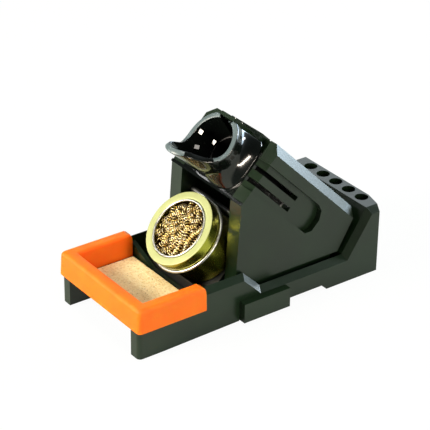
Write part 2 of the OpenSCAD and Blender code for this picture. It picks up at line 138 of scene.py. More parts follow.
def piece(name, build, mat, body, place=upright, parts=()):
    """Makes the object from its bmesh. place takes millimetres in the piece's frame to the stand."""
    for vert in build.verts:
        vert.co = place(*vert.co)
    bmesh.ops.remove_doubles(build, verts=build.verts, dist=1e-7)
    bmesh.ops.recalc_face_normals(build, faces=build.faces)
    for face in build.faces:
        face.smooth = True
    mesh = bpy.data.meshes.new(name)
    build.to_mesh(mesh)
    build.free()
    mesh.materials.append(mat)
    obj = bpy.data.objects.new(name, mesh)
    bpy.context.scene.collection.objects.link(obj)
    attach(obj, body)
    if parts:
        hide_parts(*parts)
    print(name, len(mesh.polygons), "faces")
    return obj


def soften(obj, width_mm, segments=2, angle=28, merge_flats=True):
    """Rounds the hard edges, as a mould does. A node's loose flat triangles are merged first."""
    if merge_flats:
        plane = obj.modifiers.new("flat_faces", "DECIMATE")
        plane.decimate_type = "DISSOLVE"
        plane.angle_limit = math.radians(0.6)
    edge = obj.modifiers.new("soft_edges", "BEVEL")
    edge.width = width_mm * MM
    edge.segments = segments
    edge.limit_method = "ANGLE"
    edge.angle_limit = math.radians(angle)
    edge.harden_normals = True
    edge.use_clamp_overlap = True


print("shape helpers ready")

# %% [markdown]
# ## Where the slanted parts are
#
# The iron and the tin lie at a slant, so each gets a frame of its own. The holder's frame comes from
# the mount of its tube, and the tin's frame from the ring on its lid, so both follow the solids. In
# both, z runs out along the piece's axis and y runs up the slope. The holder's origin is where the
# tube meets the sloped panel. The tin's is the middle of the lid's window, level with its face.

# %% Slanted frames
tube = mounts["iron_tube"]
out_axis = Vector(tube["axis"]).normalized()
up_axis = Vector((0, out_axis.z, -out_axis.y))
hold_origin = Vector(tube["pos_m"]) + out_axis * tube["dims"]["length_mm"] / 2 * MM
ring_low, ring_high = (Vector(c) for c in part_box("window_ring"))
ring_under_face = 0.1
tin_origin = (ring_low + ring_high) / 2 + out_axis * ring_under_face * MM


def on_holder(x, y, z):
    """A point in millimetres in the iron holder's frame."""
    return hold_origin + (Vector((x, 0, 0)) + up_axis * y + out_axis * z) * MM


def on_tin(x, y, z):
    """A point in millimetres in the tin's frame."""
    return tin_origin + (Vector((x, 0, 0)) + up_axis * y + out_axis * z) * MM


print("holder at", [round(v / MM, 2) for v in hold_origin])
print("tin at", [round(v / MM, 2) for v in tin_origin])

# %% [markdown]
# ## Moulded plastic
#
# The stand is injection moulded in black ABS, a plastic with an index of refraction near 1.52. Its
# outer faces have a satin finish from a spark-eroded mould: a fine grain that spreads a reflection
# without dulling it. The cup and the panel under it are polished, so they show small sharp lights.
# A single black would look painted, so all of it has faint flow marks, slow sink marks and places
# rubbed a little glossier. The satin grain is really about a tenth of a millimetre across, and it is
# drawn about three times coarser so that it shows.

# %% Black plastics
flow_mm, rubbed_mm, sink_mm = 34, 9, 18
sink_deep = 0.05


def moulded(name, dark, light, rough, grain_mm, depth_mm):
    """Moulded or hard coated black, between two tones, with a grain of the given size and depth."""
    mat, tree, place = material(name)
    flow = add(tree, "TexNoise", {"Vector": place, "Scale": per_mm(flow_mm), "Detail": 3.0})
    tint = add(tree, "ValToRGB", {"Fac": flow}, stops=((0.35, dark), (0.7, light)))
    rubbed = add(tree, "TexNoise", {"Vector": place, "Scale": per_mm(rubbed_mm), "Detail": 2.0})
    between = {"From Min": 0.2, "From Max": 0.8, "To Min": rough * 0.92, "To Max": rough * 1.08}
    gloss = add(tree, "MapRange", {"Value": rubbed, **between})
    sink = add(tree, "TexNoise", {"Vector": place, "Scale": per_mm(sink_mm), "Detail": 2.0})
    wave = add(tree, "Bump", {"Height": sink, "Distance": sink_deep * MM, "Strength": 0.5})
    spark = add(tree, "TexNoise", {"Vector": place, "Scale": per_mm(grain_mm), "Detail": 2.0})
    grain = {"Height": spark, "Distance": depth_mm * MM, "Strength": 0.6, "Normal": wave}
    skin = add(tree, "Bump", grain)
    shader = tree.nodes["Principled BSDF"]
    wire(tree, shader, {"Base Color": tint, "Roughness": gloss, "Normal": skin, "IOR": 1.52})
    return mat


# Spark-eroded ABS: a soft, broad sheen on a black with a hint of green
satin_black = moulded("satin_abs", "0b190b", "102210", 0.3, 0.28, 0.008)
# Polished ABS: deep black with small sharp lights
polished_black = moulded("polished_abs", "060908", "0b0f0d", 0.12, 0.6, 0.002)
# Painted sheen: a lighter bluish grey satin for the cup rim's faces that look out along the axis, standing
# in for the light they mirror
rim_painted_sheen = moulded("abs_rim_painted_sheen", "48565a", "5c6a6c", 0.34, 0.4, 0.01)
# Steel made nearly black and a little brownish, with nearly no sheen, so the tube is dark in the cup's
# throat
near_black_steel = moulded("near_black_tube_steel", "0c0c0d", "18181a", 0.42, 0.5, 0.01)
# ABS as it comes from an unpolished core: dull, for the pieces inside
inner_black = moulded("inner_abs", "070a0a", "0d1010", 0.45, 0.3, 0.012)
print("plastics", satin_black.name, polished_black.name, inner_black.name)

# %% [markdown]
# ## Silicone
#
# The wiper is orange silicone rubber, moulded, with an index of refraction of 1.41. Light goes a few
# millimetres into it, which makes its edges glow and its shaded sides redder, so it gets subsurface
# scattering in which red goes furthest. Fine dust on it makes it satin rather than glossy.

# %% Silicone
silicone, tree, place = material("orange_silicone")
cloud = add(tree, "TexNoise", {"Vector": place, "Scale": per_mm(22), "Detail": 4.0})
dust = add(tree, "TexNoise", {"Vector": place, "Scale": per_mm(1.2), "Detail": 5.0, "Roughness": 0.7})
swell = add(tree, "TexNoise", {"Vector": place, "Scale": per_mm(7), "Detail": 3.0})
soft = add(tree, "Bump", {"Height": swell, "Distance": 0.08 * MM, "Strength": 0.5})
skin = add(tree, "Bump", {"Height": dust, "Distance": 0.012 * MM, "Strength": 0.5, "Normal": soft})
wire(
    tree,
    tree.nodes["Principled BSDF"],
    {
        "Base Color": add(tree, "ValToRGB", {"Fac": cloud}, stops=((0.3, "ff690b"), (0.75, "ff7511"))),
        "Roughness": add(tree, "MapRange", {"Value": dust, "To Min": 0.42, "To Max": 0.62}),
        "Normal": skin,
        "Subsurface Weight": 0.7,
        "Subsurface Radius": (2.0, 0.3, 0.08),
        "Subsurface Scale": 3 * MM,
        "IOR": 1.41,
        "Specular IOR Level": 0.35,
    },
)
print("made", silicone.name)

# %% [markdown]
# ## Rubber
#
# The feet are moulded black rubber with a chalky bloom and tiny pits. It gives the eye a flat dark
# grey without a highlight, so it is rough and hardly needs anything else.

# %% Rubber
foot_rubber, tree, place = material("black_rubber")
bloom = add(tree, "TexNoise", {"Vector": place, "Scale": per_mm(3), "Detail": 4.0})
pitted = add(tree, "TexNoise", {"Vector": place, "Scale": per_mm(0.4), "Detail": 3.0})
wire(
    tree,
    tree.nodes["Principled BSDF"],
    {
        "Base Color": add(tree, "ValToRGB", {"Fac": bloom}, stops=((0.3, "0b0b0b"), (0.7, "181818"))),
        "Normal": add(tree, "Bump", {"Height": pitted, "Distance": 0.03 * MM, "Strength": 0.7}),
        "Roughness": 0.75,
    },
)
print("made", foot_rubber.name)

# %% [markdown]
# ## Cellulose
#
# The sponge is pressed cellulose: straw coloured and dull, with pores of one to two millimetres.
# Cells of a Voronoi pattern stand for the pores. Some pores are painted a darker brown as painted
# shade in their hollows, only where a pore and a patch of noise meet, because shade at every pore
# would look printed.

# %% Cellulose
cellulose, tree, place = material("cellulose_sponge")
straw_stops = ((0.32, "dcc07c"), (0.5, "f5e1aa"), (0.68, "fdf0c8"))
tone = add(tree, "TexNoise", {"Vector": place, "Scale": per_mm(2.4), "Detail": 6.0, "Roughness": 0.75})
straw = add(tree, "ValToRGB", {"Fac": tone}, stops=straw_stops)
pore = add(tree, "TexVoronoi", {"Vector": place, "Scale": per_mm(1.6)})
pore_shade_patches = add(tree, "TexNoise", {"Vector": place, "Scale": per_mm(0.9), "Detail": 3.0, "Roughness": 0.7})
in_pore = add(tree, "ValToRGB", {"Fac": pore}, stops=((0.12, 1.0), (0.34, 0.0)))
in_patch = add(tree, "ValToRGB", {"Fac": pore_shade_patches}, stops=((0.45, 0.0), (0.6, 1.0)))
# Painted shade: the darker brown goes into the pores that a patch of noise picks
shade = add(tree, "Math", {0: in_pore, 1: in_patch}, operation="MULTIPLY")
fibre = add(tree, "TexNoise", {"Vector": place, "Scale": per_mm(0.6), "Detail": 5.0, "Roughness": 0.7})
pitted = add(tree, "Bump", {"Height": pore, "Distance": 0.5 * MM, "Strength": 0.5})
rough = add(tree, "Bump", {"Height": fibre, "Distance": 0.2 * MM, "Strength": 0.8, "Normal": pitted})
wire(
    tree,
    tree.nodes["Principled BSDF"],
    {
        "Base Color": add(tree, "Mix", {"Factor": shade, "A": straw, "B": "8e6a34"}, data_type="RGBA"),
        "Normal": rough,
        "Roughness": 0.95,
    },
)
print("made", cellulose.name)

# %% [markdown]
# ## Tinplate and steel
#
# The tin is tinplate under a yellow-gold lacquer. On the drawn wall the lacquer is clear and shows
# the metal's reflections, with fine rings that the drawing leaves. On the lid's face it is milky, so
# most of its light is diffuse and it is only slightly metallic. The bead and the ring round the
# window are bare bright tin, and the screws and brackets are steel with a thin coat of zinc. One
# function makes them all, because they differ only in tone, gloss and the direction of their lines.


# %% Sheet metals
def sheet_metal(name, dark, light, rough, line_mm, stretch, metallic=1.0):
    """Sheet metal between two tones, with drawing lines of a width, stretched along an axis."""
    mat, tree, place = material(name)
    cloud = add(tree, "TexNoise", {"Vector": place, "Scale": per_mm(11), "Detail": 4.0})
    drawn = add(tree, "Mapping", {"Vector": place, "Scale": stretch})
    lines = add(tree, "TexNoise", {"Vector": drawn, "Scale": per_mm(line_mm), "Detail": 3.0})
    duller = {"Value": lines, "To Min": rough * 0.7, "To Max": rough * 1.35}
    wire(
        tree,
        tree.nodes["Principled BSDF"],
        {
            "Base Color": add(tree, "ValToRGB", {"Fac": cloud}, stops=((0.3, dark), (0.7, light))),
            "Roughness": add(tree, "MapRange", duller),
            "Normal": add(tree, "Bump", {"Height": lines, "Distance": 0.006 * MM, "Strength": 0.6}),
            "Metallic": metallic,
        },
    )
    return mat


# Milky lacquer: an even pale yellow-green without clear reflections
gold_lacquer = sheet_metal("milky_gold_lacquer", "9ca36a", "a8af76", 0.45, 0.5, (0.3, 1, 1), 0.15)
# Clear lacquer: olive gold that mirrors its surroundings in bands
olive_lacquer = sheet_metal("clear_gold_lacquer", "b2b240", "c6c650", 0.24, 0.6, (1, 1, 1))
# Bare tin: a bright, slightly warm silver line
bare_tin = sheet_metal("bright_tin", "b4b6ae", "cccec8", 0.34, 0.8, (1, 1, 1))
# Zinc plated steel: a cooler, greyer silver
zinc_steel = sheet_metal("zinc_plated_steel", "8d9092", "aeb1b2", 0.32, 0.7, (1, 6, 1))
print("sheet metals ready")

# %% [markdown]
# ## Brass
#
# The turnings are cut brass. Where they lie on top their tone runs from brass to white, and the white
# is painted highlight; where they lie deep they are painted a dark brown, which is painted shade. The
# depth is measured along the tin's axis from the lid's face, by a dot product of the object
# coordinates with that axis. It mixes the top tone with the deep one, which paints the tangle's dark
# hollows even where the light reaches them.

# %% Brass
# The top tone runs from brass to white, partly painted highlight; the deep tone is a dark brown of painted
# shade
lit_above, shaded_below = 1.9, 4.2
brass_highlight_stops = ((0.3, "e8bd48"), (0.5, "ffe9a0"), (0.7, "ffffff"))
brass, tree, place = material("brass_turnings")
face_level = tin_origin.dot(out_axis)
along = add(tree, "VectorMath", {0: place, 1: out_axis}, operation="DOT_PRODUCT")
reach_in = {"From Min": face_level - lit_above * MM, "From Max": face_level - shaded_below * MM}
depth = add(tree, "MapRange", {"Value": along, **reach_in})
cloud = add(tree, "TexNoise", {"Vector": place, "Scale": per_mm(2.2), "Detail": 4.0, "Roughness": 0.7})
brass_highlight_tone = add(tree, "ValToRGB", {"Fac": cloud}, stops=brass_highlight_stops)
deep_shade_tone = add(tree, "ValToRGB", {"Fac": cloud}, stops=((0.25, "301a04"), (0.7, "7c5416")))
grooves = add(tree, "TexNoise", {"Vector": place, "Scale": per_mm(0.5), "Detail": 2.0})
wire(
    tree,
    tree.nodes["Principled BSDF"],
    {
        "Base Color": add(tree, "Mix", {"Factor": depth, "A": brass_highlight_tone, "B": deep_shade_tone}, data_type="RGBA"),
        "Normal": add(tree, "Bump", {"Height": grooves, "Distance": 0.03 * MM, "Strength": 0.6}),
        "Metallic": 0.9,
        "Roughness": 0.3,
    },
)
print("made", brass.name)

# %% [markdown]
# ## Dressing the exact solids
#
# The moulded parts, plates and screws already have the right shape, so none of them is drawn again.
# Each gets its material and a softened edge, because no moulding or pressing has a knife edge, and
# the thin light along an edge is what makes it look solid. The number beside each material is how
# far the rounding reaches in from the edge: 0.6 to 0.8 mm on most of the big mouldings, 1.2 mm on
# the strap, and 0.3 mm or less on the metal and the pieces inside. A bevel modifier does it and
# leaves the node's own mesh as it is.

# %% Solids that stay
# The material of each solid, and the width of its soft edges in millimetres
dress = {
    "base": (satin_black, 0.7),
    "tip_rack": (satin_black, 0.6),
    "left_cheek": (satin_black, 0.8),
    "right_cheek": (satin_black, 0.8),
    "rear_cover": (satin_black, 0.35),
    "front_panel": (polished_black, 0.6),
    "cup_strap": (satin_black, 1.2),
    "cup_ring": (inner_black, 0.2),
    "tin_cradle": (inner_black, 0.3),
    "feet": (foot_rubber, 0.2),
    "ballast_plate": (zinc_steel, 0.3),
    "ballast_screws": (zinc_steel, 0.3),
    "cheek_screws": (zinc_steel, 0.3),
    "cradle_screws": (zinc_steel, 0.3),
    "strap_screws": (zinc_steel, 0.25),
    "tie_rods": (zinc_steel, 0.2),
    "tube_bracket": (zinc_steel, 0.2),
    "holder_tube": (near_black_steel, 0.15),
}
for node, (mat, width) in dress.items():
    obj = frame["nodes"][node]
    obj.data.materials.clear()
    obj.data.materials.append(mat)
    soften(obj, width)
print("dressed", len(dress), "solids")

# %% [markdown]
# ## The wiper's section
#
# The wiper is a hollow strip of silicone that fits over the tray's edge on three sides, open
# underneath and at the ends of its arms. It could be a box that is hollowed and bevelled, but its
# outer and inner edges are rounded differently, so it is drawn as a section instead. Each point of
# the section is a distance in from the outer face and a height. The two upper edges are arcs.

# %% Wiper section
low, high = (Vector(c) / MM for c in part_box("wiper"))
thick, roof = 9.0, 1.8
channel_out, channel_in = 1.3, 5.9
channel_top = high.z - roof
outer_r, inner_r = 2.6, 2.0
# The heights between the ends let the outer face lean and the arms' ends round over
section = [(0.0, z) for z in (low.z, low.z + 1, low.z + 4, high.z - 5)]
for k in range(7):
    a = math.radians(15 * k)
    section.append((outer_r * (1 - math.cos(a)), high.z - outer_r + outer_r * math.sin(a)))
section.append(((outer_r + thick - inner_r) / 2, high.z))
for k in range(6):
    a = math.radians(18 * k)
    section.append((thick - inner_r + inner_r * math.sin(a), high.z - inner_r + inner_r * math.cos(a)))
section += [(thick, high.z - 5), (thick, low.z + 4), (thick, low.z), (channel_in, low.z)]
section += [(channel_in, channel_top), (channel_out, channel_top), (channel_out, low.z)]
print("wiper section of", len(section), "points")

# %% [markdown]
# ## The wiper
#
# The section is extruded step by step along a U. At each step its points move to the U at their own
# distance, so the corners get tighter towards the inside, and the arms' ends round over at the top.
# The outer face leans out a little towards its lower edge, which lets the real piece leave its
# mould. A number stored on every point says which point of the section it is, and extruding copies
# it. The extrusion is given the face with its edges and points, so that no old face stays inside.

# %% Wiper
draft, end_r, end_tall = 0.7, 3.2, 4.0
corner_r, corner_least, corner_tighten = 3.0, 0.9, 0.25
arm_shares = (0, 0.02, 0.06, 0.14, 0.3, 0.5, 0.7, 0.86, 0.97)
front_shares = (0.02, 0.15, 0.35, 0.5, 0.65, 0.85, 0.98)
corner_steps = 8


def u_curve(d, z):
    """The U at distance d in from the outer face and height z, from one arm's end to the other's."""
    out = draft * (high.z - z) / (high.z - low.z) * max(0.0, 1 - d / channel_out)
    x, y = high.x - d + out, low.y + d - out
    r = max(corner_r - d * corner_tighten, corner_least)
    lean = min(max((z - (high.z - end_tall)) / end_tall, 0.0), 1.0)
    end = high.y - end_r * (1 - math.sqrt(1 - lean * lean))
    arm = [(x, end + (y + r - end) * t) for t in arm_shares]
    turns = [math.radians(90 * k / corner_steps) for k in range(corner_steps + 1)]
    arm += [(x - r + r * math.cos(a), y + r - r * math.sin(a)) for a in turns]
    front = [((x - r) * (1 - 2 * t), y) for t in front_shares]
    return arm + front + [(-px, py) for px, py in reversed(arm)]


curves = [u_curve(d, z) for d, z in section]
build = bmesh.new()
which = build.verts.layers.int.new("section_point")
start = [build.verts.new((*curve[0], z)) for curve, (d, z) in zip(curves, section)]
for k, vert in enumerate(start):
    vert[which] = k
end = build.faces.new(start)
for step in range(1, len(curves[0])):
    made = bmesh.ops.extrude_face_region(build, geom=[end, *end.edges, *end.verts])
    end = next(g for g in made["geom"] if isinstance(g, bmesh.types.BMFace))
    for vert in end.verts:
        vert.co.xy = curves[vert[which]][step]
wiper = piece("silicone_wiper", build, silicone, "edge_wiper", parts=("wiper",))
soften(wiper, 0.5, 2, 50, merge_flats=False)

# %% [markdown]
# ## The sponge
#
# The sponge is a slab cut from a block, with edges that have worn round. It starts as a cube scaled
# to its box and bevelled. Its long edges are then cut along each axis, which gives a fine grid on
# every face. A subdivision modifier would do it too, but it would cut the narrow bevels as often as
# the broad faces.

# %% Sponge block
low, high = (Vector(c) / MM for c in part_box("sponge"))
inset, edge_r, grid_mm = 0.25, 0.9, 0.6
build = bmesh.new()
bmesh.ops.create_cube(build, size=1.0)
bmesh.ops.scale(build, verts=build.verts, vec=high - low - Vector((2, 2, 2)) * inset)
bmesh.ops.translate(build, verts=build.verts, vec=(high + low) / 2)
bmesh.ops.bevel(
    build,
    geom=build.edges[:],
    offset=edge_r,
    offset_type="OFFSET",
    segments=3,
    profile=0.5,
    affect="EDGES",
    material=-1,
)
for axis in range(3):
    long_edges = []
    for edge in build.edges:
        run = edge.verts[1].co - edge.verts[0].co
        if abs(run[axis]) > 0.99 * run.length and run.length > 1.5:
            long_edges.append(edge)
    cuts = round((high[axis] - low[axis]) / grid_mm)
    bmesh.ops.subdivide_edges(build, edges=long_edges, cuts=cuts, use_grid_fill=True)
print("sponge grid of", len(build.faces), "faces")

# %% [markdown]
# ## The sponge's pores
#
# Pressed cellulose has open pores of two sizes and a crumbly skin between them. Each grid point is
# pushed in along its normal by a depth that comes from two sizes of random cells and some fine
# noise. A bump in the material would do from afar, but real dents also break up the slab's outline.

# %% Sponge pores
fine_mm, coarse_mm, patch_mm, crumb_mm = 1.7, 4.5, 3.1, 1.2


def pore_depth(p):
    """How deep the surface is pressed in at a point, in millimetres."""
    small = noise.voronoi(p / fine_mm)[0][0]
    large = noise.voronoi(p / coarse_mm + Vector((7, 3, 1)))[0][0]
    patches = noise.noise(p / patch_mm) * 0.5 + 0.5
    dents = max(0.0, 0.34 - small) * 1.6 * patches + max(0.0, 0.2 - large) * 1.9
    return dents + 0.1 * noise.fractal(p / crumb_mm, 1.0, 2.0, 3)


build.normal_update()
pressed = [vert.co - vert.normal * pore_depth(vert.co) for vert in build.verts]
for vert, spot in zip(build.verts, pressed):
    vert.co = spot
sponge = piece("cellulose_sponge", build, cellulose, "sponge_pad", parts=("sponge",))

# %% [markdown]
# ## The cup's wall
#
# The cup guides the hot end of the iron into its tube. It is one thick shell: a funnel inside, a
# broad flat rim with rounded edges, and a smooth outside. Below is the outline of that wall as if
# the rim were level all round, as points of radius and height over the panel, and a list of how high
# the rim really stands at each angle from the bottom, where the lip is drawn out into a scoop.

# %% Cup outline
level_rim, rim_round, waist = 20.0, 1.2, 15.0
foot_bore_r, bore_r, body_r, rim_r = 12.75, 17.2, 20.2, 21.0
wall = [(foot_bore_r, -3), (foot_bore_r, -1), (13.0, 1.5), (14.0, 5), (15.1, 9), (15.9, 12)]
wall += [(16.5, 14.5), (16.9, 16.4), (17.1, 17.3), (bore_r, 18.1), (bore_r, 18.8), (bore_r, 19.3)]
wall += [(17.32, 19.75), (17.7, level_rim), (19.1, level_rim), (20.5, level_rim), (20.88, 19.75)]
wall += [(rim_r, 19.3), (rim_r, 18.8), (rim_r, 18.0), (20.95, 17.0), (20.88, 16.0), (20.8, waist)]
wall += [(body_r, z) for z in (12.5, 10, 8, 6.4, 5, 3.8, 2.8, 1.9, 1.1, 0.5, 0.1)]
wall += [(foot_bore_r, -0.5)]
# The angle from the bottom, and how high the rim stands there
reach = [(0, 43.0), (9, 42.7), (18.6, 41.5), (26, 40.2), (32.9, 38.2), (38.5, 34.0), (45, 28.8)]
reach += [(54, 24.2), (64, 21.2), (76, 19.3), (90, 18.7), (180, 18.7)]


def rim_height(angle):
    """Height of the rim at an angle from the bottom, smoothed over its neighbours."""
    total = 0.0
    for k in range(-4, 5):
        a = min(abs(angle + 1.5 * k), 179.9)
        (a0, z0), (a1, z1) = next(pair for pair in zip(reach, reach[1:]) if pair[1][0] > a)
        total += z0 + (z1 - z0) * (a - a0) / (a1 - a0)
    return total / 9


print("cup lip", rim_height(0), "sides", rim_height(90))

# %% [markdown]
# ## The cup
#
# The outline is spun most of the way round, with a gap at the top where the strap lies. Then each
# point is moved: everything above the waist is stretched up to the real rim, the scoop flares out a
# little, and the foot spreads and turns squarish where it meets the panel. The rim's faces that look
# out along the axis get the second material, a lighter bluish grey that is painted sheen: the light
# that the flat rim mirrors, painted into its colour.

# %% Cup
open_angle = 160
flare, flare_from, flare_over = 0.9, 30, 13
foot_tall, foot_half_wide, foot_half_tall = 11, 25.2, 21.9
between_skins = 17.5
strap_under = 18.35
rim_faces, rim_above = 0.75, 16


def shape_cup(x, y, z):
    """Where a point of the level cup goes."""
    r, a = math.hypot(x, y), math.atan2(x, -y)
    rim = rim_height(math.degrees(a))
    outside = r > between_skins
    if z > level_rim - rim_round - 0.01:
        z = rim - (level_rim - z)
    elif z > waist:
        z = waist + (z - waist) * (rim - rim_round - waist) / (level_rim - rim_round - waist)
    if z > waist:
        share = min(1.0, (z - waist) / (rim - waist))
        r += flare * max(0.0, (rim - flare_from) / flare_over) * share**2
    x, y = r * math.sin(a), -r * math.cos(a)
    if outside and z < foot_tall + 1:
        spread = min(max((foot_tall - z) / foot_tall, 0.0), 1.0) ** 1.7
        square = 2 + 1.6 * spread
        k = (abs(math.sin(a)) ** square + abs(math.cos(a)) ** square) ** (-1 / square)
        x = (r + (foot_half_wide - r) * spread) * k * math.sin(a)
        y = -(r + (foot_half_tall - r) * spread) * k * math.cos(a)
    return x, min(y, strap_under), z


build = bmesh.new()
outline = build.faces.new([build.verts.new((0, -r, z)) for r, z in wall])
turn = Matrix.Rotation(math.radians(-open_angle), 3, "Z")
bmesh.ops.rotate(build, verts=build.verts, cent=(0, 0, 0), matrix=turn)
spin_once = {"cent": (0, 0, 0), "axis": (0, 0, 1), "dvec": (0, 0, 0), "use_duplicate": False}
sweep = math.radians(2 * open_angle)
bmesh.ops.spin(build, geom=[outline], angle=sweep, steps=open_angle, use_merge=False, **spin_once)
for vert in build.verts:
    vert.co = shape_cup(*vert.co)
bmesh.ops.recalc_face_normals(build, faces=build.faces)
build.normal_update()
# Rim faces that look out along the axis get the painted sheen as their second material
for face in build.faces:
    spot = face.calc_center_median()
    on_rim = face.normal.z > rim_faces and spot.z > rim_above and spot.xy.length > bore_r
    face.material_index = 1 if on_rim else 0
cup = piece("iron_cup", build, polished_black, "stand", on_holder, ("holder_cup",))
cup.data.materials.append(rim_painted_sheen)

# %% [markdown]
# ## The cup's pads
#
# Inside the funnel small pads stand on the wall and keep the iron in the middle. They are mirrors
# more than shapes: their polished tops slope, and each shows as one small bright patch in the dark
# cup. Each pad is a cube that is flattened, turned so that its top faces a given way, and sunk into
# the wall. Modelling them on the wall itself would need a much finer spin for the same look.

# %% Cup pads
pad_long, pad_wide, pad_deep = 3.4, 3.2, 1.6
# The middle of each pad's top, and the way that the top faces
pads = (
    ((-15.3, 1.9, 15.6), (0.294, -0.222, 0.929)),
    ((-12.8, 1.8, 3.4), (0.294, -0.222, 0.929)),
    ((-12.2, -7.6, 13.6), (0.439, 0.362, 0.821)),
)
build = bmesh.new()
for spot, facing in pads:
    outwards, top_way = Vector((spot[0], spot[1], 0)).normalized(), Vector(facing).normalized()
    side = top_way.cross(outwards).normalized()
    turn = Matrix((side.cross(top_way), side, top_way)).transposed()
    for vert in bmesh.ops.create_cube(build, size=1)["verts"]:
        x, y, z = vert.co
        vert.co = turn @ Vector((x * pad_long, y * pad_wide, (z - 0.5) * pad_deep)) + Vector(spot)
cup_pads = piece("cup_pads", build, polished_black, "stand", on_holder)
soften(cup_pads, 0.15)

# %% [markdown]
# ## The lid and its ring
#
# The lid is pressed from one sheet: a flat face with a hole, a rounded shoulder and a straight skirt
# whose edge is rolled in. It is spun from a thin closed outline rather than from a single line with
# a thickness added, so that the rolled edges show as they are. Its face is milky and its skirt
# clear, so the faces that look out along the axis keep the first material and the rest get the
# second. The ring round the window is a small oval section spun round the same axis.


# %% Lid
def turned(outline):
    """A closed outline of (radius, height) points spun once round the axis."""
    build = bmesh.new()
    points = [build.verts.new((r, 0, z)) for r, z in outline]
    edges = [build.edges.new(pair) for pair in zip(points, points[1:] + points[:1])]
    full = 2 * math.pi
    bmesh.ops.spin(build, geom=points + edges, angle=full, steps=128, use_merge=True, **spin_once)
    return build


def round_outline(radius, height, wide, tall, steps=16):
    """The outline of a rolled ring: an oval of the given half width and half height."""
    turns = [2 * math.pi * k / steps for k in range(steps)]
    return [(radius + wide * math.cos(a), height + tall * math.sin(a)) for a in turns]


lid_outline = [(21.2, -0.55), (21.25, -0.12), (21.5, 0.0), (23.2, 0.0), (25.6, 0.0), (26.1, -0.04)]
lid_outline += [(26.35, -0.16), (26.48, -0.4), (26.5, -0.8), (26.5, -1.2), (26.4, -4.0), (26.3, -7.2)]
lid_outline += [(26.3, -7.9), (26.1, -8.1), (25.8, -8.1), (25.6, -7.9)]
lid_outline += [(25.6, -1.4), (25.2, -0.7), (24.6, -0.55)]
lid_shape = turned(lid_outline)
lid = piece("tin_lid_shell", lid_shape, gold_lacquer, "lid", on_tin, ("tin_lid",))
lid.data.materials.append(olive_lacquer)
for face in lid.data.polygons:
    face.material_index = 0 if face.normal.dot(out_axis) > 0.4 else 1

ring = turned(round_outline(20.35, -0.1, 0.76, 0.7))
piece("window_ring_rolled", ring, bare_tin, "lid", on_tin, ("window_ring",))

# %% [markdown]
# ## The tin
#
# The tin is drawn: one sheet makes its bottom and its wall, with a round corner between them. Its
# outline runs along the outside to the open edge, over it, and back along the inside. The bead that
# the lid stops against is a rolled ring of its own.

# %% Tin
tin_outline = [(0.3, -32.0), (12, -32.0), (23.8, -32.0), (24.7, -31.75), (25.15, -31.1), (25.3, -30.2)]
tin_outline += [(25.3, -24), (25.3, -16), (25.3, -11.2), (25.3, -1.4), (25.0, -1.2), (24.7, -1.4)]
tin_outline += [(24.7, -30.4), (24.2, -31.2), (12, -31.4), (0.3, -31.4)]
tin_shape = turned(tin_outline)
piece("tin_wall", tin_shape, olive_lacquer, "tin", on_tin, ("tin_body",))

bead = turned(round_outline(26.72, -9.8, 1.12, 1.08))
piece("tin_bead", bead, bare_tin, "tin", on_tin)

# %% [markdown]
# ## One turning of brass
#
# The wool is a tangle of curled turnings, each a narrow ribbon that a cutting tool left wound into a
# tight coil like a spring. Hair strands would be quicker but have no flat faces to flash in the
# light. Spinning the end of a ribbon while it moves along the axis makes such a coil from a few
# faces per turn.

# %% One turning
ribbon_wide, ribbon_thick, coil_steps = 0.5, 0.2, 12


def turning(length, radius, pitch):
    """A ribbon wound into a coil along z, centred on the origin."""
    coil = bmesh.new()
    corners = ((-1, -1), (1, -1), (1, 1), (-1, 1))
    end = [coil.verts.new((radius + i * ribbon_thick / 2, 0, j * ribbon_wide / 2)) for i, j in corners]
    coil.faces.new(end)
    turns = length / pitch
    bmesh.ops.spin(
        coil,
        geom=coil.faces[:],
        cent=(0, 0, 0),
        axis=(0, 0, 1),
        dvec=(0, 0, pitch / coil_steps),
        angle=2 * math.pi * turns,
        steps=int(turns * coil_steps),
        use_merge=False,
        use_duplicate=False,
    )
    bmesh.ops.translate(coil, verts=coil.verts, vec=(0, 0, -length / 2))
    return coil


print("ribbon", ribbon_wide, "by", ribbon_thick, "mm")

# %% [markdown]
# ## The brass wool
#
# Each turning is bent a little, laid in the tin at its own heading, and pressed below the window and
# inside the wall. The turnings lie in three layers. In each they are spread by the golden angle,
# which fills a circle evenly without rows, and neighbours share a rough heading, because the real
# wool is one long tangle that was stuffed in by hand.

# %% Brass wool
rng = random.Random(11)
wool_r, wool_top, spread_r = 20.0, -0.8, 18.0
golden_angle = 2.399963
main_heading, heading_sway = 1.45, 0.9
# How many turnings lie in a layer, how high it lies, and the radius of their coils
layers = ((26, -6.4, 1.8), (28, -3.6, 2.0), (22, -2.7, 1.8))
wool = bmesh.new()
scratch = bpy.data.meshes.new("scratch")
for number, level, girth in layers:
    for k in range(number):
        spot, a = spread_r * math.sqrt((k + 0.5) / number), k * golden_angle + level
        length = rng.uniform(8, 13)
        coil = turning(length, girth * rng.uniform(0.9, 1.1), rng.uniform(1.6, 2.1))
        swing, lean = rng.uniform(-2.5, 2.5), rng.uniform(-0.1, 0.1)
        heading = main_heading + heading_sway * math.sin(a * 0.5) + rng.uniform(-0.5, 0.5)
        way = Vector((math.cos(heading), math.sin(heading), lean))
        lay = way.to_track_quat("Z", "Y").to_matrix()
        for vert in coil.verts:
            t = 2 * vert.co.z / length
            bent = lay @ (vert.co + Vector((swing * t * t, 0.5 * math.sin(2 * t), 0)))
            p = bent + Vector((spot * math.cos(a), spot * math.sin(a), level))
            p.xy *= min(1.0, wool_r / p.xy.length)
            p.z = min(p.z, wool_top)
            vert.co = p
        coil.to_mesh(scratch)
        coil.free()
        wool.from_mesh(scratch)
bpy.data.meshes.remove(scratch)
piece("wool_turnings", wool, brass, "tin", on_tin)
